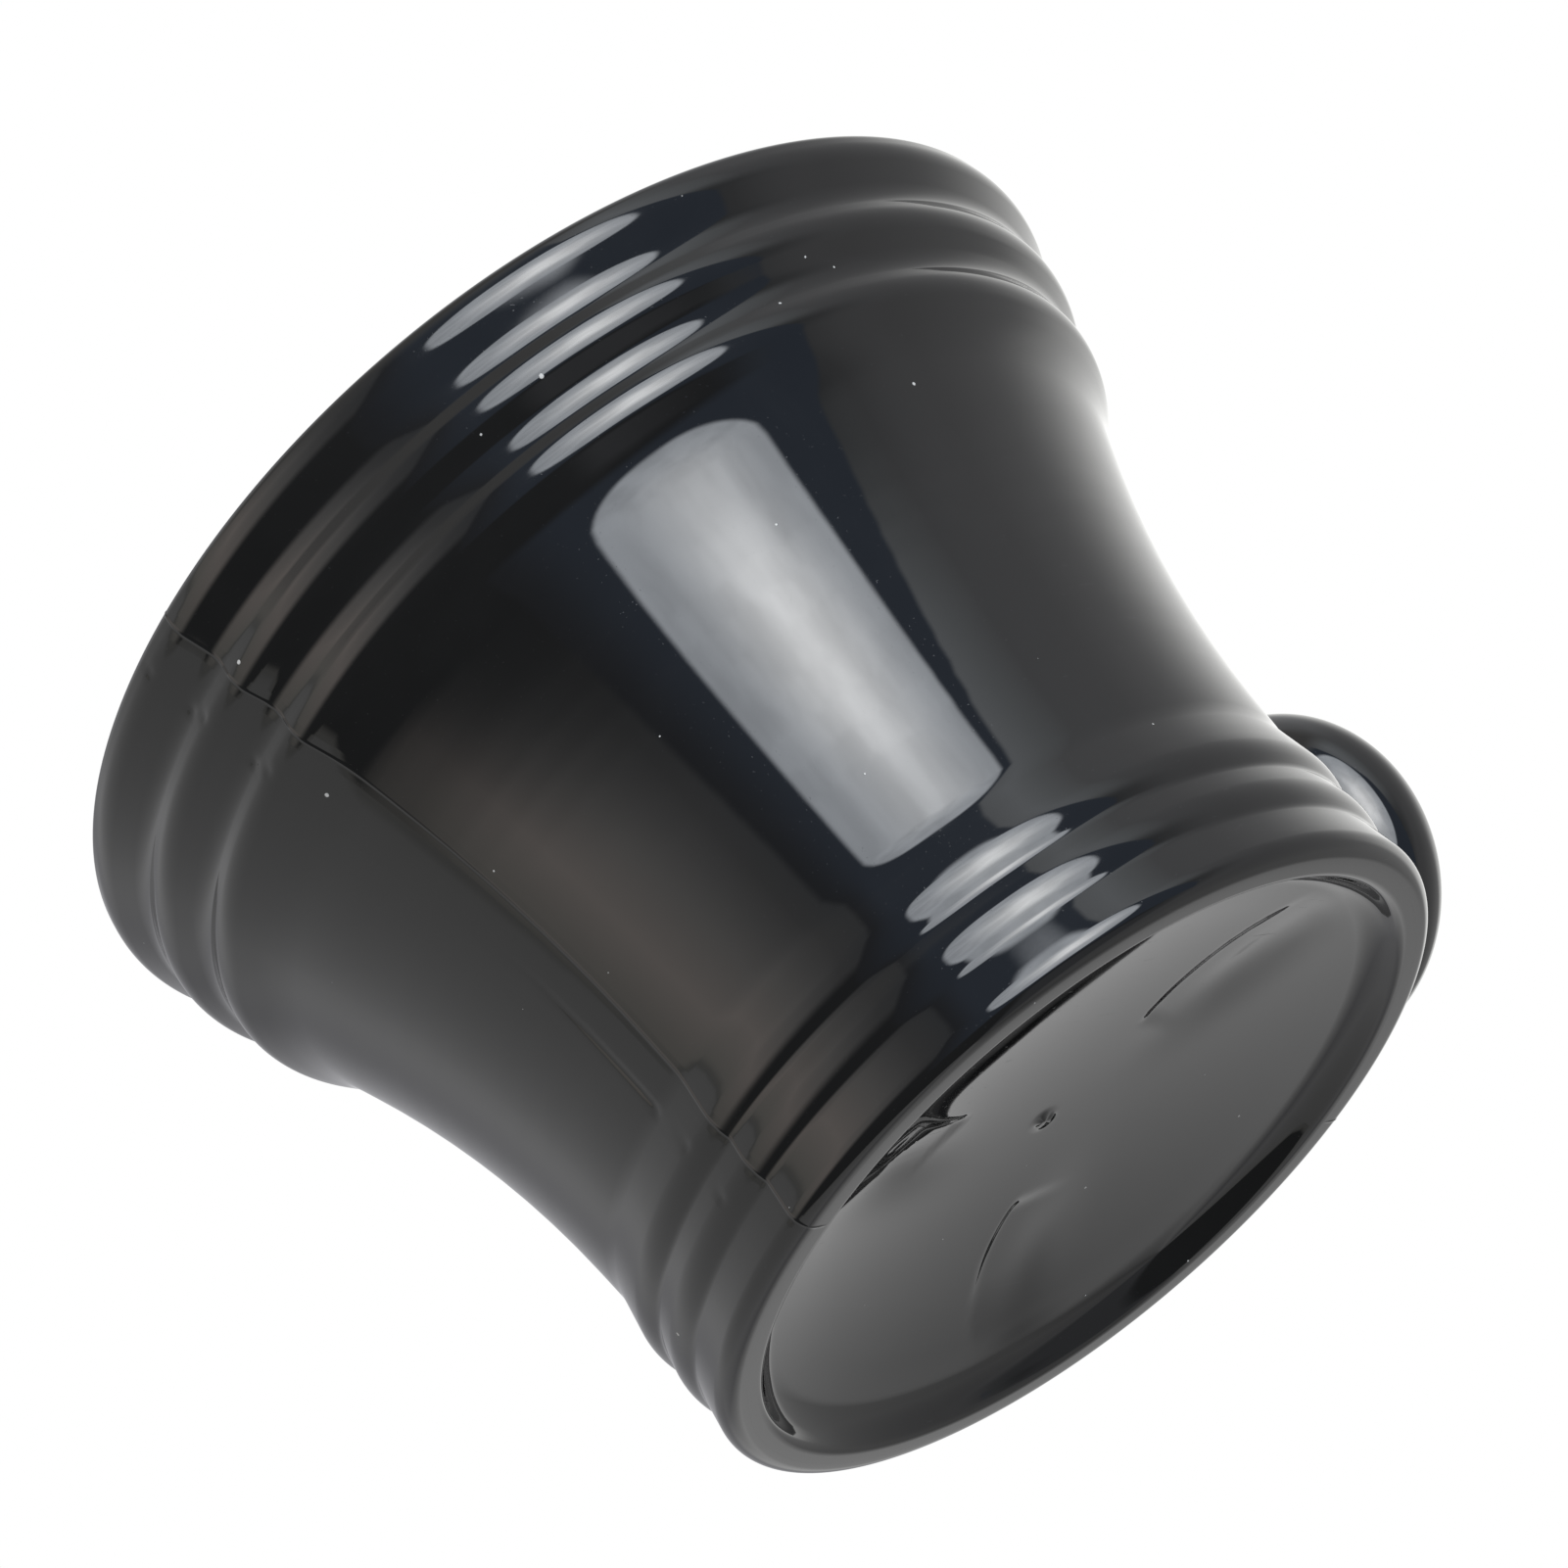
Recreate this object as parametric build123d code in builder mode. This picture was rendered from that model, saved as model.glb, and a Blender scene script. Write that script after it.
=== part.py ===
from build123d import *
import os
from math import sqrt

# Hair color bowl with a side knob, in millimetres.
# Origin: centre of the foot's resting plane. +Z points up to the mouth, +X out to the knob.
# The bowl's mould parts on the XZ plane, which also holds the knob's axis.

# ---- driving dimensions -------------------------------------------------------------------

height = 72.4  # foot to rim
mouth_radius = 50.0  # outside of the rim
wall = 2.7  # bowl wall at the rim, and the floor
kick_up = 6.0  # how far the middle of the base is domed up inside the foot ring

# corners of the outside before rounding, going up: radius, height and rounding
foot_outline = [
    (31.4, 2.3, 4.0),  # hollow between the domed base and the foot ring
    (32.9, 0.0, 1.1),  # inner edge of the foot ring
    (36.8, 0.0, 1.6),  # outer edge of the foot ring
    (35.97, 5.25, 1.1),  # groove
    (36.66, 6.75, 3.9),  # lower foot bead
    (36.1, 9.95, 1.1),  # groove
    (36.79, 11.45, 3.9),  # upper foot bead
]
side_outline = [
    (35.8, 16.8, 8.0),  # narrowest part of the waist
    (36.9, 35.5, 95.0),  # one long hollow curve
    (43.68, 53.2, 15.0),  # the side turns out towards the rim beads
]
dome_edge = (27.0, 3.2)  # outer edge of the base's dome

# lower corner of each rim bead: radius and height, from the lowest bead to the rim
rim_beads = [(46.75, 57.1), (48.65, 63.35), (mouth_radius + 0.13, 70.0)]
rim_land = 3.25  # height of the band at each rim bead
rim_groove = 0.73  # the band leans in by this much towards the groove above it
rim_lean = 0.35  # and the rim's own band by this much towards the top
bead_round = 2.7
groove_round = 2.8
rim_round = 0.95

# corners of the inside, which widens all the way up so that the core draws out
inside_outline = [
    (32.9, 6.0, 6.0),  # floor corner
    (34.2, 35.0, 100.0),  # one long curve
]
floor_edge = (27.0, 5.2)  # where the domed floor meets the floor corner

knob_radius = 15.8  # the knob is a ball flattened along its axis
knob_depth = 8.7  # half its thickness
knob_reach = 65.7  # from the bowl's axis to the knob's outer end
knob_height = 26.5
knob_wall = 2.5
neck_radius = 6.5
neck_round = 3.5
pad_radius = 8.0  # raised flat pad on the bowl's side that the neck seats on
pad_reach = 38.7  # from the bowl's axis to the pad's face
pad_root = 33.0  # where the pad starts, inside the wall
pad_round = 0.8
stub_radius = 4.5  # stub on the pad that the knob's socket slides over
stub_length = 11.0
socket_play = 0.1
socket_end_gap = 0.2

cap_radius = 10.5  # push-in cap over the knob's outer end
plug_radius = 8.6
plug_wall = 1.4
plug_length = 3.0
plug_play = 0.1
plug_root = 0.5  # how far the plug reaches into the cap, to join it

screw_hole_radius = 1.9  # clearance hole through the socket's end
socket_end = 3.0  # thickness of the plastic under the washer
washer_radius = 4.2
washer_thickness = 0.8
thread_core_radius = 1.3
thread_height = 0.4
thread_foot = 0.3  # half the width of a thread ridge at its foot
thread_pitch = 1.2
thread_turns = 9
screw_reach = 9.5  # how far the screw goes into the stub
pilot_depth = 10.5  # blind hole in the stub
screw_point = 1.5
head_radius = 3.2
head_height = 2.3
head_edge = 0.6  # straight edge under the head's dome
recess_width = 0.9
recess_span = 3.4
recess_depth = 1.3

# ---- the bowl's outline --------------------------------------------------------------------


def rim_outline():
    """Corners of the rim beads, which step out to the mouth; the last one ends in the rim."""
    corners = []
    for radius, low in rim_beads[:-1]:
        corners.append((radius, low, bead_round))
        corners.append((radius - rim_groove, low + rim_land, groove_round))
    radius, low = rim_beads[-1]
    corners.append((radius, low, bead_round))
    corners.append((radius - rim_lean, height, rim_round))
    return corners


def filleted_line(corners, start, end):
    """One smooth line from start to end through rounded corners."""
    points = [start] + [(radius, up) for radius, up, _ in corners] + [end]
    FilletPolyline(*points, radius=[rounding for _, _, rounding in corners])


def shallow_dome(top, edge):
    """Arc from the bowl's axis at height top down to edge, level at the axis."""
    TangentArc((0, top), edge, tangent=(1, 0))


core_radius, core_height, _ = inside_outline[-1]
core_flare = (mouth_radius - wall - core_radius) / (height - core_height)
above_rim = (mouth_radius - wall + core_flare, height + 1.0)
floor_height = kick_up + wall

# ---- the knob's own planes and places ------------------------------------------------------

knob_x = knob_reach - knob_depth
knob_plane = Plane(origin=(knob_x, 0, knob_height), x_dir=(1, 0, 0), z_dir=(0, -1, 0))
knob_axis = Axis((knob_x, 0, knob_height), (1, 0, 0))
across_knob = Plane(origin=(0, 0, knob_height), x_dir=(0, 1, 0), z_dir=(1, 0, 0))

# the next values are distances along the knob's axis from its centre
neck_end = pad_reach - knob_x
stub_end = neck_end + stub_length
socket_bottom = stub_end + socket_end_gap
post_end = socket_bottom + socket_end
cap_seat = knob_depth * sqrt(1 - (cap_radius / knob_radius) ** 2)
washer_top = post_end + washer_thickness
head_top = washer_top + head_height
screw_tip = stub_end - screw_reach
first_ridge = screw_tip + screw_point + thread_foot
thread_places = [(first_ridge + n * thread_pitch, thread_core_radius) for n in range(thread_turns)]


def keep_one_side():
    """Cut away the part of a knob sketch below the knob's axis, so that it can be revolved."""
    Rectangle(3 * knob_radius, 2 * knob_radius, align=(Align.CENTER, Align.MAX), mode=Mode.SUBTRACT)


# ---- bowl_body -----------------------------------------------------------------------------

with BuildPart() as bowl_body:
    # the outside as a full block
    with BuildSketch(Plane.XZ):
        with BuildLine():
            shallow_dome(kick_up, dome_edge)
            filleted_line(foot_outline + side_outline + rim_outline(), start=dome_edge, end=(0, height))
            Line((0, height), (0, kick_up))
        make_face()
    revolve(axis=Axis.Z)

    # pad and stub for the knob grow out of the side
    with BuildSketch(across_knob.offset(pad_root)):
        Circle(pad_radius)
    extrude(amount=pad_reach - pad_root)
    fillet(bowl_body.faces().sort_by(Axis.X)[-1].edges(), pad_round)
    with BuildSketch(across_knob.offset(pad_reach)):
        Circle(stub_radius)
    extrude(amount=stub_length)

    # the inside, cut past the rim
    with BuildSketch(Plane.XZ):
        with BuildLine():
            shallow_dome(floor_height, floor_edge)
            filleted_line(inside_outline, start=floor_edge, end=above_rim)
            Polyline(above_rim, (0, above_rim[1]), (0, floor_height))
        make_face()
    revolve(axis=Axis.Z, mode=Mode.SUBTRACT)
    rim_edges = bowl_body.edges().filter_by(GeomType.CIRCLE).group_by(Axis.Z)[-1]
    fillet(rim_edges.sort_by(SortBy.RADIUS)[0], rim_round)

    # blind pilot hole for the screw
    with BuildSketch(across_knob.offset(pad_reach + stub_length)):
        Circle(thread_core_radius)
    extrude(amount=-pilot_depth, mode=Mode.SUBTRACT)

bowl_body.part.label = "bowl_body"

# ---- knob_shell: hollow flattened ball with neck, socket and an open outer end -------------

with BuildPart() as knob_shell:
    with BuildSketch(knob_plane):
        Ellipse(knob_depth, knob_radius)
        with Locations((neck_end, 0)):
            Rectangle(-neck_end, 2 * neck_radius, align=(Align.MIN, Align.CENTER))
        keep_one_side()
    revolve(axis=knob_axis)
    fillet(knob_shell.edges().filter_by(GeomType.CIRCLE).sort_by(Axis.X)[1], neck_round)

    # hollow between the knob's wall and the post in its middle
    with BuildSketch(knob_plane):
        Ellipse(knob_depth - knob_wall, knob_radius - knob_wall)
        with Locations((post_end, 0)):
            Rectangle(2 * knob_radius, 2 * neck_radius, align=(Align.MAX, Align.CENTER), mode=Mode.SUBTRACT)
        keep_one_side()
    revolve(axis=knob_axis, mode=Mode.SUBTRACT)

    # socket for the stub, and the screw hole through its end
    with BuildSketch(across_knob.offset(pad_reach)):
        Circle(stub_radius + socket_play)
    extrude(amount=stub_length + socket_end_gap, mode=Mode.SUBTRACT)
    with BuildSketch(across_knob.offset(knob_x + socket_bottom)):
        Circle(screw_hole_radius)
    extrude(amount=socket_end, mode=Mode.SUBTRACT)

    # flat seat for the cap, and the opening for its plug
    with BuildSketch(across_knob.offset(knob_x + cap_seat)):
        Circle(knob_radius)
    extrude(amount=knob_radius, mode=Mode.SUBTRACT)
    with BuildSketch(across_knob.offset(knob_x + cap_seat)):
        Circle(plug_radius + plug_play)
    extrude(amount=-plug_length, mode=Mode.SUBTRACT)

knob_shell.part.label = "knob_shell"

# ---- knob_cap: domed end with a plug that pushes into the shell ----------------------------

with BuildPart() as knob_cap:
    with BuildSketch(knob_plane):
        Ellipse(knob_depth, knob_radius)
        with Locations((cap_seat, 0)):
            Rectangle(3 * knob_radius, 2 * knob_radius, align=(Align.MAX, Align.CENTER), mode=Mode.SUBTRACT)
        with Locations((cap_seat - plug_length, plug_radius - plug_wall)):
            Rectangle(plug_length + plug_root, plug_wall, align=(Align.MIN, Align.MIN))
        keep_one_side()
    revolve(axis=knob_axis)

knob_cap.part.label = "knob_cap"

# ---- knob_washer and knob_screw ------------------------------------------------------------

with BuildPart() as knob_washer:
    with BuildSketch(across_knob.offset(knob_x + post_end)):
        Circle(washer_radius)
        Circle(screw_hole_radius, mode=Mode.SUBTRACT)
    extrude(amount=washer_thickness)

knob_washer.part.label = "knob_washer"

with BuildPart() as knob_screw:
    with BuildSketch(knob_plane):
        with BuildLine():
            Polyline(
                (head_top, 0),
                (screw_tip, 0),
                (screw_tip + screw_point, thread_core_radius),
                (washer_top, thread_core_radius),
                (washer_top, head_radius),
                (washer_top + head_edge, head_radius),
            )
            TangentArc((head_top, 0), (washer_top + head_edge, head_radius), tangent=(0, 1))
        make_face()
        with Locations(*thread_places):
            Polygon((-thread_foot, -thread_foot), (thread_foot, -thread_foot), (0, thread_height), align=None)
    revolve(axis=knob_axis)

    # cross recess in the head
    with BuildSketch(across_knob.offset(knob_x + head_top)):
        Rectangle(recess_span, recess_width)
        Rectangle(recess_width, recess_span)
    extrude(amount=-recess_depth, mode=Mode.SUBTRACT)

knob_screw.part.label = "knob_screw"

# ---- write one file for each piece ---------------------------------------------------------

export_step(bowl_body.part, "parts/bowl_body.step")
export_step(knob_shell.part, "parts/knob_shell.step")
export_step(knob_cap.part, "parts/knob_cap.step")
export_step(knob_washer.part, "parts/knob_washer.step")
export_step(knob_screw.part, "parts/knob_screw.step")
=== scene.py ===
"""Looks of the hair color bowl: glossy black moulded plastic with a side knob, in a white photo studio."""

import math

import bpy
import numpy as np
from mathutils import Matrix, Vector


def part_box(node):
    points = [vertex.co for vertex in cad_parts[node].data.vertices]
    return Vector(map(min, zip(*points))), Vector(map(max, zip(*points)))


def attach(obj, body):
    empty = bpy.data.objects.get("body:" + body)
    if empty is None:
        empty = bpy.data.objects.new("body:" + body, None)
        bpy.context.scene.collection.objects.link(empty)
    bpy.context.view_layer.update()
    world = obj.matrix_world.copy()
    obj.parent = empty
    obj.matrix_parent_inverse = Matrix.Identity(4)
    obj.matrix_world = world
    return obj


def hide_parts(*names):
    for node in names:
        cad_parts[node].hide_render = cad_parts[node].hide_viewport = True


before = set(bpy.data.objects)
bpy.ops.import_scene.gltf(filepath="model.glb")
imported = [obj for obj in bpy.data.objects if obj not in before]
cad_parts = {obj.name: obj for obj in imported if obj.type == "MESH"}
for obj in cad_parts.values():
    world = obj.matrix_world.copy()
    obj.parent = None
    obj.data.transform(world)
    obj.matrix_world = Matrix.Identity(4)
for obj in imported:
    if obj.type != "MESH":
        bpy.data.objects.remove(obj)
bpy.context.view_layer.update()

mm = 0.001
toward_camera = math.radians(-147.6)  # azimuth of the side of the bowl that the photograph shows
scene = bpy.context.scene

# ---- sizes read from the frame, in millimetres ---------------------------------------------

bowl_low, bowl_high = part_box("bowl_body")
shell_low, shell_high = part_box("knob_shell")
cap_low, cap_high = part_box("knob_cap")

height = bowl_high.z / mm
mouth_radius = bowl_high.y / mm
knob_radius = shell_high.y / mm
knob_depth = 8.7  # half the knob's thickness: a ball flattened along its axis
knob_height = (shell_high.z + shell_low.z) / 2 / mm
knob_x = cap_high.x / mm - knob_depth
neck_end = shell_low.x / mm - knob_x  # along the knob's axis from its centre
cap_seat = shell_high.x / mm - knob_x

# ---- outlines, in millimetres --------------------------------------------------------------


def rounded(corners, step=math.radians(2)):
    """Points along a line through corners (x, y, rounding), with every corner turned by an arc."""
    line = [np.array(corners[0][:2], float)]
    for before, corner, after in zip(corners, corners[1:], corners[2:]):
        here = np.array(corner[:2], float)
        into = here - np.array(before[:2], float)
        out = np.array(after[:2], float) - here
        into /= np.linalg.norm(into)
        out /= np.linalg.norm(out)
        turn = math.atan2(into[0] * out[1] - into[1] * out[0], into @ out)
        rounding = corner[2]
        if rounding == 0 or abs(turn) < 1e-6:
            line.append(here)
            continue
        side = math.copysign(1, turn)
        start = here - into * rounding * math.tan(abs(turn) / 2)
        to_centre = np.array([-into[1], into[0]]) * side * rounding
        count = max(2, math.ceil(abs(turn) / step))
        for k in range(count + 1):
            a = turn * k / count
            arm = -to_centre
            spun = np.array(
                [
                    arm[0] * math.cos(a) - arm[1] * math.sin(a),
                    arm[0] * math.sin(a) + arm[1] * math.cos(a),
                ]
            )
            line.append(start + to_centre + spun)
    line.append(np.array(corners[-1][:2], float))
    return line


def dome(top, edge, count=40):
    """Points of an arc from (0, top), where it is level, down to edge."""
    sag = top - edge[1]
    radius = (edge[0] ** 2 + sag**2) / (2 * sag)
    half = math.asin(edge[0] / radius)
    return [
        np.array([radius * math.sin(half * k / count), top - radius * (1 - math.cos(half * k / count))])
        for k in range(count + 1)
    ]


def evened(line, spacing=0.05):
    """The same line as points at an even spacing."""
    line = np.array(line)
    steps = np.hypot(*np.diff(line, axis=0).T)
    along = np.concatenate([[0], np.cumsum(steps)])
    keep = np.concatenate([[True], steps > 1e-9])
    places = np.linspace(0, along[-1], int(along[-1] / spacing) + 1)
    return np.column_stack([np.interp(places, along[keep], line[keep, i]) for i in (0, 1)])


def softened(line, reach):
    """An even line with its bends eased over about reach points, so that reflections run through them."""
    pad = 3 * reach
    weights = np.exp(-0.5 * (np.arange(-pad, pad + 1) / reach) ** 2)
    weights /= weights.sum()
    grown = np.concatenate([2 * line[0] - line[pad:0:-1], line, 2 * line[-1] - line[-2 : -pad - 2 : -1]])
    return np.column_stack([np.convolve(grown[:, i], weights, "valid") for i in (0, 1)])


def rows(line, count, longest):
    """Picks count rows of an even line, close together where it bends.

    Elsewhere they are in step with longest, which may be one distance or one for each point.
    """
    bend_step = math.radians(4.0)  # a bend of this much counts as far as a distance of longest
    heading = np.unwrap(np.arctan2(*np.gradient(line, axis=0).T[::-1]))
    bend = np.abs(np.gradient(heading))
    step = np.hypot(*np.gradient(line, axis=0).T)
    cost = np.cumsum(step / longest + bend / bend_step)
    wanted = np.linspace(cost[0], cost[-1], count)
    return np.column_stack([np.interp(wanted, cost, line[:, i]) for i in (0, 1)])


# ---- meshes --------------------------------------------------------------------------------


def new_piece(name, vertices, faces, normals=None):
    """A smooth object in the scene, from vertices in millimetres and faces."""
    mesh = bpy.data.meshes.new(name)
    mesh.from_pydata((vertices * mm).tolist(), [], faces)
    mesh.polygons.foreach_set("use_smooth", [True] * len(faces))
    if normals is not None:
        mesh.normals_split_custom_set_from_vertices(normals.tolist())
    mesh.validate()
    piece = bpy.data.objects.new(name, mesh)
    scene.collection.objects.link(piece)
    return piece


def grid_mesh(name, points, normals):
    """A piece from a grid of points [row, column], its first and last rows closed to one point each."""
    count_rows, count_columns = points.shape[:2]
    vertices = points.reshape(-1, 3)
    directions = normals.reshape(-1, 3)
    index = np.arange(count_rows * count_columns).reshape(count_rows, count_columns)
    beside = np.roll(index, -1, axis=1)
    faces = np.stack([index[:-1], beside[:-1], beside[1:], index[1:]], axis=-1).reshape(-1, 4).tolist()
    low, high = len(vertices), len(vertices) + 1
    vertices = np.vstack([vertices, points[0].mean(0), points[-1].mean(0)])
    ends = [normals[0].mean(0), normals[-1].mean(0)]
    directions = np.vstack([directions, *[e / np.linalg.norm(e) for e in ends]])
    faces += [[low, b, a] for a, b in zip(index[0], beside[0])]
    faces += [[high, a, b] for a, b in zip(index[-1], beside[-1])]
    return new_piece(name, vertices, faces, directions)


def ring_mesh(name, points):
    """A closed ring from a grid of points whose rows and columns both run all the way round."""
    count_rows, count_columns = points.shape[:2]
    index = np.arange(count_rows * count_columns).reshape(count_rows, count_columns)
    beside = np.roll(index, -1, axis=1)
    after, beside_after = np.roll(index, -1, axis=0), np.roll(beside, -1, axis=0)
    faces = np.stack([index, beside, beside_after, after], axis=-1).reshape(-1, 4)[:, ::-1].tolist()
    return new_piece(name, points.reshape(-1, 3), faces)


def unit(vectors):
    """The same headings with length 1."""
    return vectors / np.maximum(np.linalg.norm(vectors, axis=-1, keepdims=True), 1e-12)


def lathe_normals(points):
    """Normals of a grid of points from its own rows and columns, columns running all the way round."""
    up = np.gradient(points, axis=0)
    grown = np.concatenate([points[:, -1:], points, points[:, :1]], axis=1)
    across = (grown[:, 2:] - grown[:, :-2]) / 2
    return unit(np.cross(across, up))


# ---- bowl ----------------------------------------------------------------------------------

kick_up = 6.0  # how far the middle of the base is domed up inside the foot
wall = 2.7
floor_height = kick_up + wall
dome_edge = (27.0, 3.2)  # outer edge of the base's dome
floor_edge = (27.0, 5.2)  # where the domed floor meets the floor corner

# corners of the outline: radius, height and rounding
foot_corners = [
    (31.4, 2.3, 4.0),  # hollow between the domed base and the foot ring
    (32.9, 0, 1.1),  # inner edge of the foot ring
    (36.8, 0, 1.6),  # outer edge of the foot ring
    (35.9, 5.25, 1.1),  # groove
    (36.7, 6.75, 3.7),  # lower foot bead
    (36.02, 9.95, 1.1),  # groove
    (36.79, 11.45, 3.7),  # upper foot bead
]
side_corners = [(35.8, 16.8, 8), (36.9, 35.5, 95), (43.68, 53.2, 15)]
inside_corners = [(34.2, 35, 100), (32.9, 6, 6)]

# lower corner of each rim bead: radius and height
rim_beads = [(46.75, 57.1), (48.65, 63.35), (50.13, 70.0)]
rim_land = 3.25  # height of the band at each rim bead
rim_groove = 0.73  # the band leans in by this much towards the groove above it
rim_lean = 0.35  # and the rim's own band by this much towards the top
bead_round = 2.7
groove_round = 2.8
rim_round = 0.95

dish_radius = 31.0  # the base's dish lies inside this radius
dish_fade = 3.0  # the marks in the base fade out over this width before the dish's edge
outside_radius = 34.0  # the side's marks lie outside this radius

seam_height = 0.045  # the fine ridge where the two mould halves meet
seam_width = 0.09
streak_turn = math.radians(173.9)  # a faint flow mark beside the parting line
streak_low, streak_high = 16.5, 37.0
streak_width = 0.35
streak_depth = 0.09
witness_levels = [70.4, 66.3, 64.7, 59.7, 57.9, 16.9, 12.6, 7.5]  # small tool marks across the beads
witness_step = 0.35  # they stagger by this much to either side of the flow mark
witness_width, witness_tall = 0.6, 0.5
witness_depth = 0.09
gate_radius = 0.7  # what is left of the sprue in the middle of the base
gate_height = 0.35
column_count = 280  # even columns round the bowl
column_radius = 36.0  # the closer columns' places are arcs in millimetres at this radius
row_count = 300
longest_base, longest_side, longest_inside = 0.45, 1.3, 3.2  # spacings of the rows along straight stretches


def bowl_outline():
    """Radius and height from the base's centre, round the foot, up, over the rim and down the inside."""
    corners = [(*dome_edge, 0), *foot_corners, *side_corners]
    for radius, low in rim_beads[:-1]:
        corners += [(radius, low, bead_round), (radius - rim_groove, low + rim_land, groove_round)]
    corners += [(*rim_beads[-1], bead_round), (rim_beads[-1][0] - rim_lean, height, rim_round)]
    corners += [(mouth_radius - wall, height, rim_round), *inside_corners, (*floor_edge, 0)]
    base = dome(kick_up, dome_edge)
    floor = dome(floor_height, floor_edge)
    return evened(base[:-1] + rounded(corners) + floor[-2::-1])


def bowl_columns():
    """Azimuths of the bowl's columns: even, with closer ones at the two parting lines and the flow mark."""
    even = np.arange(column_count) * 2 * math.pi / column_count
    one_side = np.array([0.045, 0.09, 0.14, 0.2, 0.3, 0.45, 0.7])
    at_seam = np.concatenate([-one_side, one_side]) / column_radius
    at_streak = np.linspace(-1.2, 1.2, 15) / column_radius
    extra = [at_seam, math.pi + at_seam, streak_turn + at_streak]
    return np.sort(np.concatenate([even, *extra]) % (2 * math.pi))


# Three curved flow marks in the base: start and end as (radius, degrees from the photograph's side), how
# far each bows to its clockwise side, and the side that has sunk: 1 clockwise, -1 the other way
arms = [
    ((11.2, 78), (28.5, 77), 1.6, -1),
    ((10.4, 209), (27.0, 217), -1.8, 1),
    ((13.2, 338), (23.0, 340), 0.8, 1),
]
arm_depth = 0.23
arm_edge = 1.3  # width of each mark's steep side
arm_reach = 6.5  # width of its gentle side
sink_depth = 0.6  # the plastic has also sunk softly beside each mark
sink_width, sink_length = 3.6, 7.5
sink_aside = 4.6  # distance from the mark's chord to the middle of the sunk patch
sink_place = 0.55  # its share of the way along the mark


def smooth(share):
    """An eased step from 0 to 1."""
    share = np.clip(share, 0, 1)
    return share * share * (3 - 2 * share)


def from_angle(radius, degrees):
    """A point of the base as [x, y]."""
    return radius * np.array([math.cos(math.radians(degrees)), math.sin(math.radians(degrees))])


def base_dents(x, y):
    """Depth of the marks at a point of the base; x points to where the photograph was taken from."""
    depth = np.zeros_like(x)
    for first, last, bow, sunk_side in arms:
        start, end = from_angle(*first), from_angle(*last)
        length = np.linalg.norm(end - start)
        along = (end - start) / length
        across = np.array([along[1], -along[0]])  # to the clockwise side
        share = ((x - start[0]) * along[0] + (y - start[1]) * along[1]) / length
        beside = (x - start[0]) * across[0] + (y - start[1]) * across[1]
        off_mark = (beside - bow * 4 * share * (1 - share)) * -sunk_side
        taper = smooth(share / 0.12) * smooth((1.1 - share) / 0.5)
        gentle = smooth(1 + off_mark / arm_reach)
        depth += arm_depth * taper * np.where(off_mark > 0, smooth(1 - off_mark / arm_edge), gentle)
        sideways = (beside * -sunk_side + sink_aside) / sink_width
        lengthways = (share - sink_place) * length / sink_length
        depth += sink_depth * np.exp(-(sideways**2) - lengthways**2)
    return depth


def build_bowl():
    """The bowl as one turned grid, with the parting line, flow marks, sinks and sprue mark as real shapes."""
    line = softened(bowl_outline(), reach=3)
    top = np.argmax(line[:, 1])
    on_base = (np.arange(len(line)) < top) & (line[:, 0] < dish_radius)
    on_side = (np.arange(len(line)) < top) & ~on_base
    longest = np.where(on_base, longest_base, np.where(on_side, longest_side, longest_inside))
    line = rows(line, row_count, longest)[1:-1]
    top = np.argmax(line[:, 1])
    turn = bowl_columns()
    radius, up = line[:, :1], line[:, 1:]
    heading = np.gradient(line, axis=0)
    heading /= np.hypot(*heading.T)[:, None]
    outward, lift = heading[:, 1:], -heading[:, :1]

    outside = (np.arange(len(line)) < top).reshape(-1, 1) & (radius > outside_radius)
    apart = np.minimum(turn, 2 * math.pi - turn)
    apart = np.minimum(apart, math.pi - apart) * radius  # millimetres from the nearer parting line
    raised = seam_height * np.exp(-((apart / seam_width) ** 2)) * outside
    beside = np.abs(turn - streak_turn) * radius
    share = (up - streak_low) / (streak_high - streak_low)
    taper = smooth(share / 0.08) * smooth((1 - share) / 0.9)
    raised = raised - streak_depth * np.exp(-((beside / streak_width) ** 2)) * taper * outside

    for index, level in enumerate(witness_levels):
        aside = (turn - streak_turn) * radius - witness_step * (-1) ** index
        dent = np.exp(-((aside / witness_width) ** 2) - ((up - level) / witness_tall) ** 2)
        raised = raised - witness_depth * dent * outside

    under = (np.arange(len(line)) < top).reshape(-1, 1) & (radius < dish_radius)
    x = radius * np.cos(turn - toward_camera)
    y = radius * np.sin(turn - toward_camera)
    raised = raised - base_dents(x, y) * under * smooth((dish_radius - radius) / dish_fade)
    ragged = 0.7 + 0.3 * np.sin(2 * turn + 1)  # the torn sprue is higher on two sides
    raised = raised + gate_height * smooth(1.8 - radius / gate_radius) * ragged * under

    far = radius + outward * raised
    tall = up + lift * raised
    points = np.stack([far * np.cos(turn), far * np.sin(turn), tall + 0 * turn], axis=-1)
    return grid_mesh("bowl_moulding", points, lathe_normals(points))


bowl = build_bowl()

# ---- knob ----------------------------------------------------------------------------------

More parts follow.
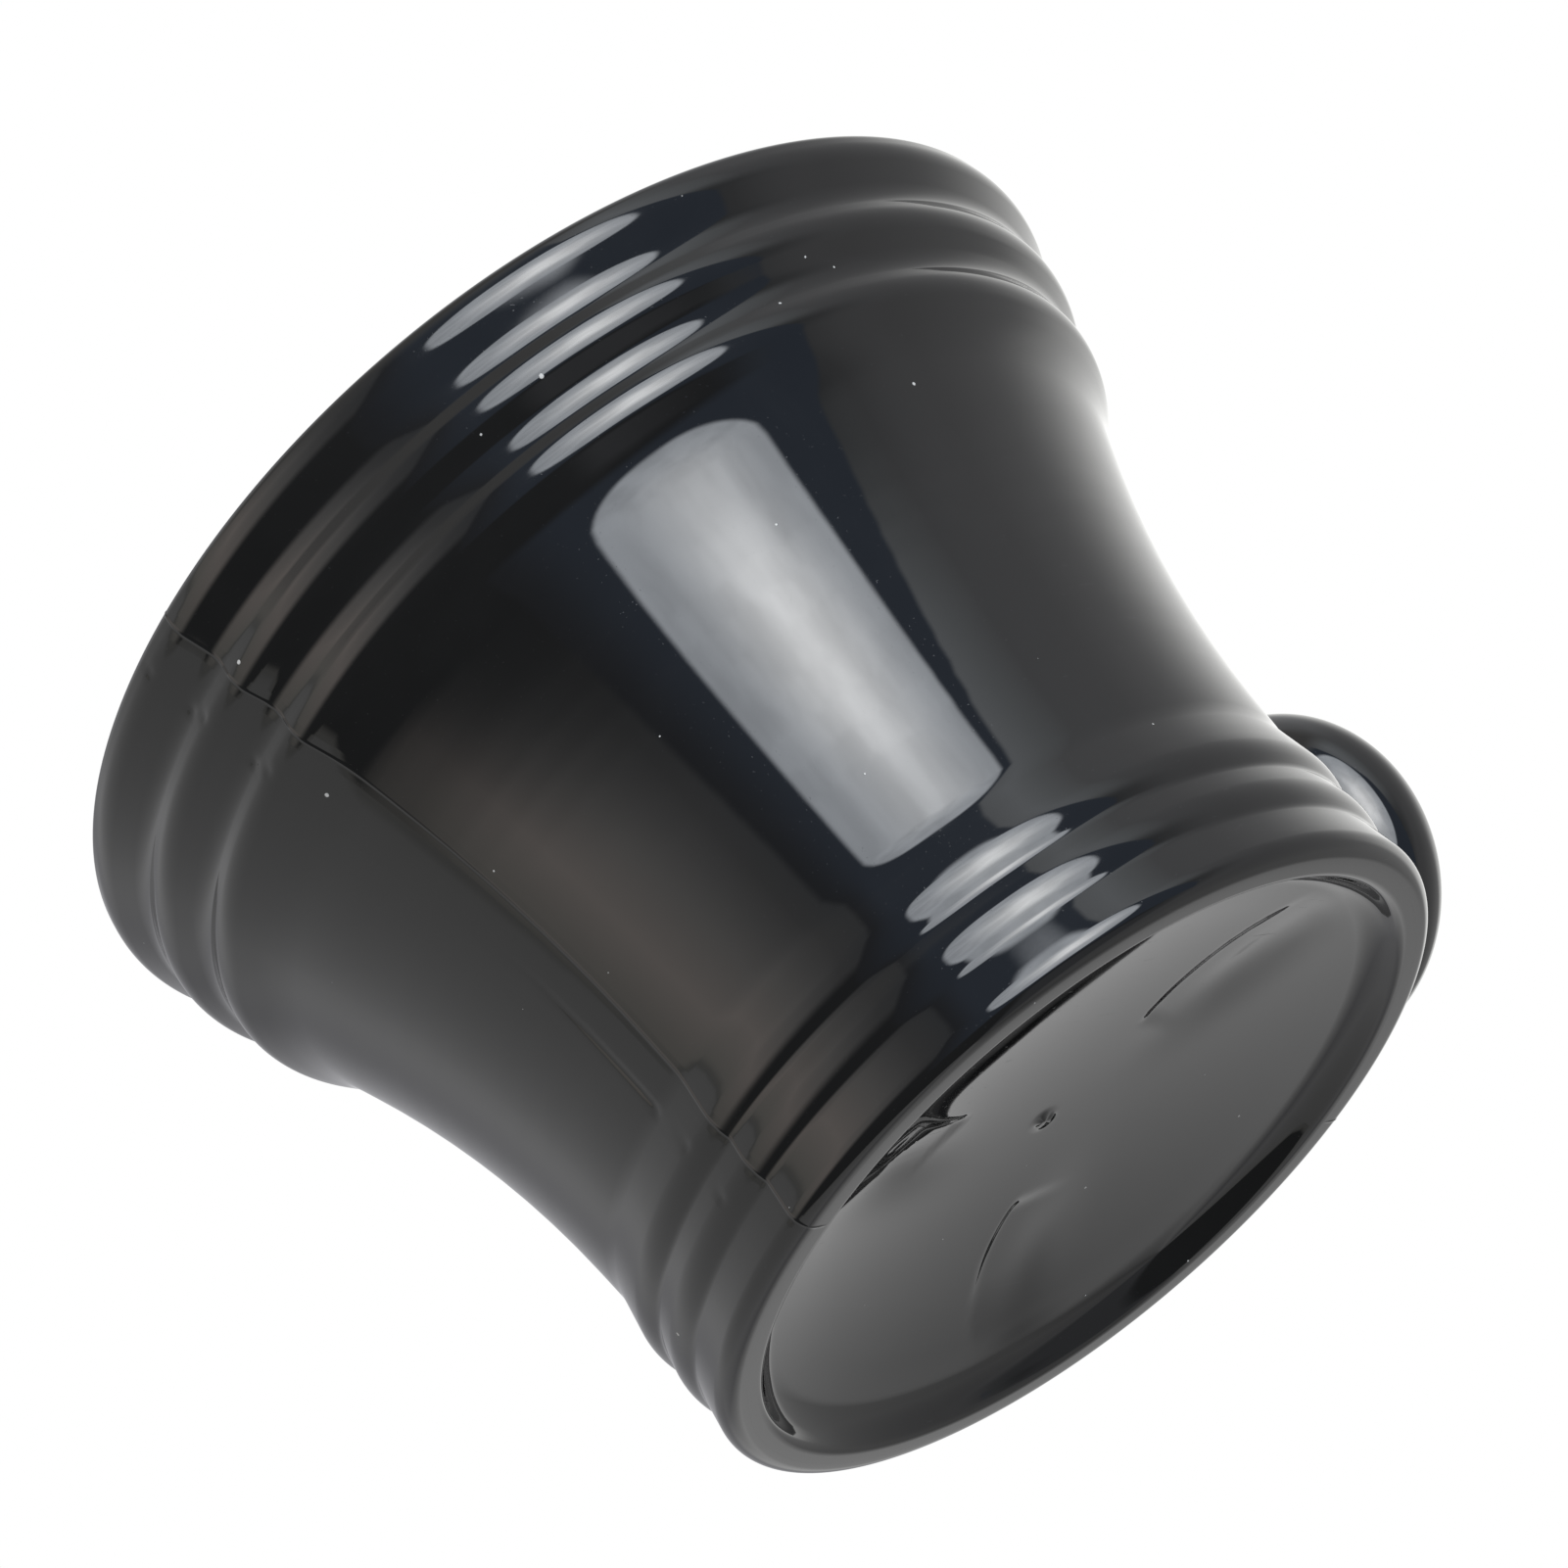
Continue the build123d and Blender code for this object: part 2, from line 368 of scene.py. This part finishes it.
knob_wall = 2.5
neck_radius = 6.5
neck_round = 3.5
stub_radius = 4.5
stub_length = 11.0
socket_radius = stub_radius + 0.1
socket_bottom = neck_end + stub_length + 0.2
post_end = socket_bottom + 3.0  # the plastic under the washer ends here
screw_hole = 1.9
screw_core = 1.3
pilot_bottom = neck_end + 0.5  # end of the screw's blind hole in the stub
cap_radius = knob_radius * math.sqrt(1 - (cap_seat / knob_depth) ** 2)
cap_joint = 0.03  # gap at the cap's seat
plug_radius = 8.6
plug_hole = plug_radius + 0.1
plug_depth = 3.0
plug_inner = plug_radius - 1.4
pad_radius = 8.0
pad_round = 0.8
pad_side = 1.9  # height of the pad's straight side
pad_foot = 9.8  # where the pad flows into the bowl's side
pad_foot_round = 2.2
pad_height = 4.1
outline_step = 0.04


def oval(depth, radius, start, end, count=60):
    """Points of the knob's outline, flattened along its axis, from one angle to another."""
    return [(depth * math.cos(a), radius * math.sin(a), 0) for a in np.linspace(start, end, count)]


def around_knob(outline, columns=160):
    """A grid of points about the knob's axis from an outline (along the axis, radius) in millimetres."""
    line = np.array(outline)
    turn = np.arange(columns) * 2 * math.pi / columns
    along, radius = line[:, :1], line[:, 1:]
    spread = [knob_x + along + 0 * turn, radius * np.cos(turn), knob_height + radius * np.sin(turn)]
    return np.stack(spread, axis=-1)


def neck_fillet():
    """The round between neck and knob: its points, and the angle on the knob's outline where it ends."""
    turn = np.linspace(math.pi / 2, math.pi, 3000)
    face = np.column_stack([knob_depth * np.cos(turn), knob_radius * np.sin(turn)])
    level = neck_radius + neck_round
    for x in np.arange(neck_end, 0, 0.005):
        gap = np.hypot(face[:, 0] - x, face[:, 1] - level)
        if gap.min() <= neck_round:
            break
    nearest = gap.argmin()
    meet = math.atan2(face[nearest, 1] - level, face[nearest, 0] - x)
    arc = [
        (x + neck_round * math.cos(a), level + neck_round * math.sin(a), 0)
        for a in np.linspace(-math.pi / 2, meet, 16)
    ]
    return arc, turn[nearest]


def build_shell():
    """The hollow knob with its neck, the socket for the stub and the opening for the cap's plug."""
    arc, meet = neck_fillet()
    edge = math.asin(cap_radius / knob_radius)
    inner_depth, inner_radius = knob_depth - knob_wall, knob_radius - knob_wall
    inner_start = math.asin(plug_hole / inner_radius)
    inner_end = math.pi - math.asin(neck_radius / inner_radius)
    outline = rounded(
        [(neck_end, (socket_radius + neck_radius) / 2, 0), (neck_end, neck_radius, 0.5)]
        + arc
        + oval(knob_depth, knob_radius, meet, edge)
        + [(cap_seat, plug_hole, 0.1)]
        + oval(inner_depth, inner_radius, inner_start, inner_end, 30)
        + [(post_end, neck_radius, 0.3), (post_end, screw_hole, 0.2), (socket_bottom, screw_hole, 0.2)]
        + [(socket_bottom, socket_radius, 0.2), (neck_end, socket_radius, 0.3)]
        + [(neck_end, (socket_radius + neck_radius) / 2, 0)]
    )
    return ring_mesh("knob_ball", around_knob(rows(evened(outline, outline_step), 300, longest=1.4)[:-1]))


def build_cap():
    """The domed cap with the ring of its plug."""
    seat = cap_seat + cap_joint
    edge = math.asin(cap_radius / knob_radius)
    outline = rounded(
        oval(knob_depth, knob_radius, 0.012, edge)
        + [(seat, cap_radius - 0.1, 0), (seat, plug_radius, 0.1)]
        + [(seat - plug_depth, plug_radius, 0.3), (seat - plug_depth, plug_inner, 0.3)]
        + [(seat, plug_inner, 0.3), (seat, 0.15, 0)]
    )
    points = around_knob(rows(evened(outline, outline_step), 150, longest=1.0))
    return grid_mesh("knob_end_cap", points[:, ::-1], -lathe_normals(points)[:, ::-1])


def build_pad():
    """The pad that grows out of the bowl's side, with the stub for the knob and its blind screw hole."""
    face = neck_end
    outline = rounded(
        [(pilot_bottom, 0.05, 0), (pilot_bottom, screw_core, 0.2), (face + stub_length, screw_core, 0.2)]
        + [(face + stub_length, stub_radius, 0.5), (face, stub_radius, 0.2)]
        + [(face, pad_radius, pad_round), (face - pad_side, pad_radius, pad_foot_round)]
        + [(face - pad_height, pad_foot, 0), (face - pad_height, 0.05, 0)]
    )
    points = around_knob(rows(evened(outline, outline_step), 120, longest=1.0), columns=96)
    return grid_mesh("knob_pad_and_stub", points[:, ::-1], -lathe_normals(points)[:, ::-1])


shell = build_shell()
cap = build_cap()
pad = build_pad()

# ---- nodes ---------------------------------------------------------------------------------


class Graph:
    """Short ways to add nodes to one node tree. A value may be a number or another node's socket."""

    def __init__(self, tree):
        self.tree = tree
        tree.nodes.clear()

    def set(self, socket, value):
        if isinstance(value, bpy.types.NodeSocket):
            self.tree.links.new(value, socket)
        else:
            socket.default_value = value

    def add(self, kind, **inputs):
        node = self.tree.nodes.new(kind)
        for name, value in inputs.items():
            self.set(node.inputs[name.replace("_", " ")], value)
        return node

    def math(self, operation, *values):
        """One number from the others."""
        node = self.tree.nodes.new("ShaderNodeMath")
        node.operation = operation
        for socket, value in zip(node.inputs, values):
            self.set(socket, value)
        return node.outputs[0]

    def dot(self, vector, fixed):
        node = self.tree.nodes.new("ShaderNodeVectorMath")
        node.operation = "DOT_PRODUCT"
        self.set(node.inputs[0], vector)
        node.inputs[1].default_value = fixed
        return node.outputs["Value"]

    def between(self, value, low, high, at_low=0.0, at_high=1.0, kind="SMOOTHSTEP"):
        """value brought from low..high to at_low..at_high, and held outside that range."""
        node = self.tree.nodes.new("ShaderNodeMapRange")
        node.interpolation_type = kind
        for socket, v in zip(node.inputs, (value, low, high, at_low, at_high)):
            self.set(socket, v)
        return node.outputs[0]

    def ramp(self, value, low, high, stops):
        """Colour by value, from stops (value, colour)."""
        node = self.tree.nodes.new("ShaderNodeValToRGB")
        self.set(node.inputs[0], self.between(value, low, high, kind="LINEAR"))
        elements = node.color_ramp.elements
        while len(elements) < len(stops):
            elements.new(0.5)
        for element, (at, colour) in zip(elements, stops):
            element.position = (at - low) / (high - low)
            element.color = (*colour, 1)
        return node.outputs[0]

    def mix(self, share, first, second, blend="MIX"):
        node = self.tree.nodes.new("ShaderNodeMix")
        node.data_type = "RGBA"
        node.blend_type = blend
        node.clamp_result = False
        self.set(node.inputs[0], share)
        for socket, value in ((node.inputs[6], first), (node.inputs[7], second)):
            self.set(socket, value if isinstance(value, bpy.types.NodeSocket) else (*value, 1))
        return node.outputs[2]

    def product(self, *values):
        """All values multiplied together."""
        total = values[0]
        for value in values[1:]:
            total = self.math("MULTIPLY", total, value)
        return total

    def reach(self, value, middle, half_width, power):
        """How far value is from middle, as a share of half_width, raised to a power."""
        away = self.math("ABSOLUTE", self.math("SUBTRACT", value, middle))
        return self.math("POWER", self.math("DIVIDE", away, half_width), power)

    def finish_material(self, shader):
        """Joins a shader to the material's output."""
        out = self.add("ShaderNodeOutputMaterial")
        self.set(out.inputs["Surface"], shader.outputs[0])

    def scaled(self, colour, amount):
        node = self.tree.nodes.new("ShaderNodeVectorMath")
        node.operation = "SCALE"
        self.set(node.inputs[0], colour)
        self.set(node.inputs["Scale"], amount)
        return node.outputs[0]


# ---- studio --------------------------------------------------------------------------------

# In the room, turn is the azimuth in degrees from the photograph's side and climb the height above level.
# Colour of the walls by turn: white at the sides and behind, dim in front
walls = [
    (-180, (0.84, 0.84, 0.84)),
    (-169, (1.15, 1.15, 1.15)),
    (-158, (0.90, 0.90, 0.90)),
    (-142, (0.62, 0.62, 0.64)),
    (-120, (0.92, 0.92, 0.93)),
    (-69, (0.80, 0.80, 0.79)),
    (-67, (0.55, 0.55, 0.52)),
    (-64, (0.98, 0.94, 0.86)),
    (-48, (1.58, 1.42, 1.32)),
    (-32, (1.10, 1.06, 1.02)),
    (-22, (0.74, 0.73, 0.72)),
    (-14, (0.50, 0.50, 0.50)),
    (-4, (0.38, 0.40, 0.42)),
    (57, (1.50, 1.58, 1.66)),
    (66, (1.10, 1.16, 1.20)),
    (76, (0.74, 0.75, 0.77)),
    (96, (0.64, 0.64, 0.65)),
    (140, (0.66, 0.66, 0.66)),
    (166, (0.50, 0.50, 0.50)),
    (180, (0.84, 0.84, 0.84)),
]
bright_wall_colour = (1.25, 1.25, 1.23)
dim_wall_colour = (0.48, 0.48, 0.50)
low_room_colour = (0.14, 0.145, 0.145)
table_colour = (0.38, 0.39, 0.41)
ceiling_colour, front_ceiling_colour = (0.85, 0.86, 0.88), (0.56, 0.55, 0.53)

frame_left_turn, frame_left_lean = -9.4, 0.152  # the window frame's sides lean with climb
frame_right_turn, frame_right_lean = 64, -0.42
frame_colour, frame_near_colour = (0.17, 0.18, 0.20), (0.27, 0.34, 0.46)

window_turn, window_climb = 30.2, 5  # the window is an upright oval with squarish corners
window_half_width, window_half_height = 22.9, 36
window_squareness = 2.7
window_colour = (4.7, 5.0, 5.4)
middle_turn, middle_climb = 32.3, 3.8  # and is brightest in its middle
middle_half_width, middle_half_height = 11.7, 17.5
middle_colour = (13.2, 13.4, 13.6)


def studio_world():
    """A white room with one big window, which the gloss reflects. The camera sees plain white."""
    world = bpy.data.worlds.new("studio")
    scene.world = world
    world.use_nodes = True
    g = Graph(world.node_tree)
    ray = g.add("ShaderNodeTexCoord").outputs["Generated"]
    front = g.dot(ray, (math.cos(toward_camera), math.sin(toward_camera), 0))
    side = g.dot(ray, (-math.sin(toward_camera), math.cos(toward_camera), 0))
    up = g.dot(ray, (0, 0, 1))
    to_degrees = 180 / math.pi
    turn = g.product(g.math("ARCTAN2", side, front), to_degrees)
    climb = g.product(g.math("ARCSINE", up), to_degrees)

    # the walls, with a brighter and a dimmer stretch behind, above the level of the table
    room = g.ramp(turn, -180, 180, walls)
    level = g.between(climb, -10, 2)
    bright_wall = g.product(level, g.between(turn, 112, 150), g.between(turn, 180, 170))
    room = g.mix(bright_wall, room, bright_wall_colour)
    dim_wall = g.product(level, g.between(turn, -124, -146), g.between(turn, -180, -170))
    room = g.mix(dim_wall, room, dim_wall_colour)

    # the lower part of the room in front, a table in it, and the ceiling
    in_front = g.product(g.between(turn, -67, -65), g.between(turn, 92, 60))
    dimmed_up_to = g.between(turn, -62, -20, at_low=3, at_high=11)
    dimmed_from = g.between(turn, -62, -20, at_low=-17, at_high=-15)
    low = g.product(g.between(climb, dimmed_up_to, dimmed_from), in_front)
    room = g.mix(low, room, low_room_colour)
    table = g.product(g.between(climb, -38, -46), g.between(turn, 14, 26), in_front)
    room = g.mix(table, room, table_colour)
    above = g.product(g.between(climb, 40, 55), g.between(turn, -70, -50))
    room = g.mix(above, room, g.mix(in_front, ceiling_colour, front_ceiling_colour))

    # dark frame round the window
    frame_left = g.math("ADD", frame_left_turn, g.product(climb, frame_left_lean))
    frame_right = g.math("ADD", frame_right_turn, g.product(climb, frame_right_lean))
    left = g.between(g.math("SUBTRACT", turn, frame_left), -1.5, 1.5)
    right = g.between(g.math("SUBTRACT", turn, frame_right), 1, -1)
    tall = g.product(g.between(climb, -40, -34), g.between(climb, 50, 44))
    near = g.between(turn, frame_left, 8)
    room = g.mix(g.product(left, right, tall), room, g.mix(near, frame_colour, frame_near_colour))

    # the window
    reach_aside = g.reach(turn, window_turn, window_half_width, window_squareness)
    reach_up = g.reach(climb, window_climb, window_half_height, window_squareness)
    window = g.between(g.math("ADD", reach_aside, reach_up), 1.12, 0.90)
    middle_aside = g.reach(turn, middle_turn, middle_half_width, 2.0)
    middle_up = g.reach(climb, middle_climb, middle_half_height, 2.0)
    middle = g.math("EXPONENT", g.product(g.math("ADD", middle_aside, middle_up), -1.0))
    cloud = g.add("ShaderNodeTexNoise", Vector=ray, Scale=5.5, Detail=3.0, Roughness=0.5).outputs[0]
    uneven = g.between(cloud, 0.3, 0.7, at_low=0.88, at_high=1.12)
    glow = g.scaled(g.mix(middle, window_colour, middle_colour), uneven)
    light = g.mix(window, room, glow)

    seen = g.add("ShaderNodeLightPath").outputs["Is Camera Ray"]
    colour = g.mix(seen, light, (1.0, 1.0, 1.0))
    background = g.add("ShaderNodeBackground", Color=colour, Strength=1.0)
    out = g.add("ShaderNodeOutputWorld")
    g.set(out.inputs["Surface"], background.outputs[0])


floor_radius = 0.6  # metres
floor_fade_start, floor_fade_end = 0.15, 0.55
floor_colour = (0.8, 0.8, 0.8, 1)


def studio_floor():
    """A pale floor that fades into the white room, open from below, where the photograph looks from."""
    bpy.ops.mesh.primitive_circle_add(vertices=96, radius=floor_radius, fill_type="NGON")
    floor = bpy.context.object
    floor.name = "studio_floor"
    material = bpy.data.materials.new("studio_floor")
    material.use_nodes = True
    g = Graph(material.node_tree)
    place = g.add("ShaderNodeTexCoord").outputs["Object"]
    away = g.tree.nodes.new("ShaderNodeVectorMath")
    away.operation = "LENGTH"
    g.set(away.inputs[0], place)
    fade = g.between(away.outputs["Value"], floor_fade_start, floor_fade_end)
    below = g.add("ShaderNodeNewGeometry").outputs["Backfacing"]
    open_share = g.math("MAXIMUM", fade, below)
    paint = g.add("ShaderNodeBsdfDiffuse", Color=floor_colour)
    clear = g.add("ShaderNodeBsdfTransparent")
    surface = g.add("ShaderNodeMixShader")
    g.set(surface.inputs[0], open_share)
    g.set(surface.inputs[1], paint.outputs[0])
    g.set(surface.inputs[2], clear.outputs[0])
    g.finish_material(surface)
    floor.data.materials.append(material)
    floor.visible_diffuse = False
    floor.visible_glossy = False
    floor.visible_transmission = False
    floor.visible_shadow = False


camera_place = (-379.46, -240.81, -170.93)
camera_heading, camera_tilt, camera_roll = math.radians(32.14), math.radians(25.61), math.radians(-41.09)
camera_lens = 134.92  # on a sensor 36 mm wide


def studio_camera():
    """The photograph's camera: a long lens below the foot, turned so that the bowl lies on its side."""
    data = bpy.data.cameras.new("camera")
    data.sensor_width = 36.0
    data.lens = camera_lens
    data.dof.use_dof = False
    camera = bpy.data.objects.new("camera", data)
    spin = (
        Matrix.Rotation(camera_heading - math.pi / 2, 4, "Z")
        @ Matrix.Rotation(math.pi / 2 + camera_tilt, 4, "X")
        @ Matrix.Rotation(camera_roll, 4, "Z")
    )
    camera.matrix_world = Matrix.Translation(Vector(camera_place) * mm) @ spin
    scene.collection.objects.link(camera)
    scene.camera = camera


scene.view_settings.view_transform = "Standard"
studio_world()
studio_floor()
studio_camera()

# ---- materials -----------------------------------------------------------------------------


def metres(g):
    """Place on the object in metres. Every piece's mesh is in the shared frame, so marks don't repeat."""
    return g.add("ShaderNodeTexCoord").outputs["Object"]


def specks(g, place, spacing, size, share, seed):
    """Sparse dots, 1 inside and 0 outside: a share of the cells hold a dot, and dots differ in size."""
    shifted = g.tree.nodes.new("ShaderNodeVectorMath")
    shifted.operation = "ADD"
    g.set(shifted.inputs[0], place)
    shifted.inputs[1].default_value = (seed, seed * 0.7, seed * 1.3)
    cells = g.add("ShaderNodeTexVoronoi", Vector=shifted.outputs[0], Scale=1 / spacing)
    lucky = g.tree.nodes.new("ShaderNodeSeparateColor")
    g.set(lucky.inputs[0], cells.outputs["Color"])
    chosen = g.math("LESS_THAN", lucky.outputs[0], share)
    reach = g.between(lucky.outputs[1], 0, 1, at_low=0.35 * size / spacing, at_high=size / spacing)
    return g.product(chosen, g.between(cells.outputs["Distance"], reach, g.product(reach, 0.6)))


def scratches(g, place, length, width, tilt, share):
    """Sparse fine lines along one heading, as streaks of stretched noise cut off at a high level."""
    lines = g.add("ShaderNodeMapping", Vector=place)
    lines.inputs["Rotation"].default_value = tilt
    lines.inputs["Scale"].default_value = (1 / length, 1 / width, 1 / width)
    streaks = g.add("ShaderNodeTexNoise", Vector=lines.outputs[0], Scale=1.0, Detail=1.0, Roughness=0.4)
    return g.between(streaks.outputs[0], 1 - share, 1 - share + 0.03)


black, wiped_black = (0.0028, 0.0028, 0.0030), (0.0042, 0.0042, 0.0044)
scratch_grey = (0.016, 0.016, 0.017)
dust_grey = (0.42, 0.42, 0.41)


def black_plastic(name, wave_height, dust_share):
    """Polished black ABS: almost mirror smooth, a little wavy, with dust and handling marks."""
    material = bpy.data.materials.new(name)
    material.use_nodes = True
    g = Graph(material.node_tree)
    place = metres(g)

    wave = g.add("ShaderNodeTexNoise", Vector=place, Scale=55.0, Detail=1.0, Roughness=0.4).outputs[0]
    wipe = g.add("ShaderNodeTexNoise", Vector=place, Scale=38.0, Detail=5.0, Roughness=0.62, Distortion=0.6)
    wiped = g.between(wipe.outputs[0], 0.42, 0.72)
    grain = g.add("ShaderNodeTexNoise", Vector=place, Scale=1900.0, Detail=2.0, Roughness=0.5).outputs[0]

    dust = g.math(
        "MAXIMUM",
        specks(g, place, spacing=0.0045, size=0.00024, share=dust_share, seed=3.1),
        specks(g, place, spacing=0.0026, size=0.00014, share=dust_share, seed=8.7),
    )
    fine_lines = g.math(
        "MAXIMUM",
        scratches(g, place, 0.009, 0.00022, (0.4, 0.9, 0.6), 0.235),
        scratches(g, place, 0.006, 0.00016, (1.3, 0.2, 2.1), 0.225),
    )

    colour = g.mix(wiped, black, wiped_black)
    colour = g.mix(g.product(fine_lines, 0.35), colour, scratch_grey)
    colour = g.mix(g.product(dust, 0.85), colour, dust_grey)

    rough = g.between(wiped, 0, 1, at_low=0.028, at_high=0.062)
    rough = g.math("ADD", rough, g.product(fine_lines, 0.10))
    rough = g.math("ADD", rough, g.product(dust, 0.5))

    marks = g.math("ADD", g.product(dust, 4.0), g.product(fine_lines, -0.25))
    relief = g.math("ADD", g.product(grain, 0.05), marks)
    fine = g.add("ShaderNodeBump", Height=relief, Strength=0.25, Distance=0.00002)
    broad = g.add("ShaderNodeBump", Height=wave, Strength=1.0, Distance=wave_height, Normal=fine.outputs[0])

    shader = g.add(
        "ShaderNodeBsdfPrincipled",
        Base_Color=colour,
        Roughness=rough,
        IOR=1.52,
        Normal=broad.outputs[0],
    )
    g.finish_material(shader)
    return material


zinc, dull_zinc = (0.68, 0.70, 0.72), (0.50, 0.52, 0.55)


def zinc_steel(name, ring_spacing):
    """Bright zinc-plated steel with cloudy plating and fine turning rings about the knob's axis."""
    material = bpy.data.materials.new(name)
    material.use_nodes = True
    g = Graph(material.node_tree)
    place = metres(g)
    _, aside, height_here = g.add("ShaderNodeSeparateXYZ", Vector=place).outputs
    up = g.math("SUBTRACT", height_here, knob_height * mm)
    off_axis = g.math("SQRT", g.math("ADD", g.product(aside, aside), g.product(up, up)))
    rings = g.math("SINE", g.product(off_axis, 2 * math.pi / ring_spacing))
    cloud = g.add("ShaderNodeTexNoise", Vector=place, Scale=700.0, Detail=4.0, Roughness=0.6).outputs[0]
    dull = g.between(cloud, 0.35, 0.7)
    colour = g.mix(dull, zinc, dull_zinc)
    rough = g.between(dull, 0, 1, at_low=0.22, at_high=0.42)
    bump = g.add("ShaderNodeBump", Height=rings, Strength=0.3, Distance=0.00001)
    shader = g.add(
        "ShaderNodeBsdfPrincipled",
        Base_Color=colour,
        Metallic=1.0,
        Roughness=rough,
        Normal=bump.outputs[0],
    )
    g.finish_material(shader)
    return material


bowl_gloss = black_plastic("bowl_gloss", wave_height=0.00004, dust_share=0.16)
knob_gloss = black_plastic("knob_gloss", wave_height=0.00001, dust_share=0.08)
for piece, finish in ((bowl, bowl_gloss), (pad, bowl_gloss), (shell, knob_gloss), (cap, knob_gloss)):
    piece.data.materials.append(finish)

for node, ring_spacing in (("knob_screw", 0.00012), ("knob_washer", 0.00018)):
    part = bpy.data.objects[node]
    plating = zinc_steel(f"{node}_zinc", ring_spacing)
    for material_slot in part.material_slots:
        material_slot.link = "OBJECT"
        material_slot.material = plating

# ---- what stands for what ------------------------------------------------------------------

for piece, node, slot in (
    (bowl, "bowl_body", "bowl_plastic"),
    (pad, "bowl_body", "bowl_plastic"),
    (shell, "knob_shell", "knob_plastic"),
    (cap, "knob_cap", "knob_plastic"),
):
    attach(piece, "root")
    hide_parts(node)
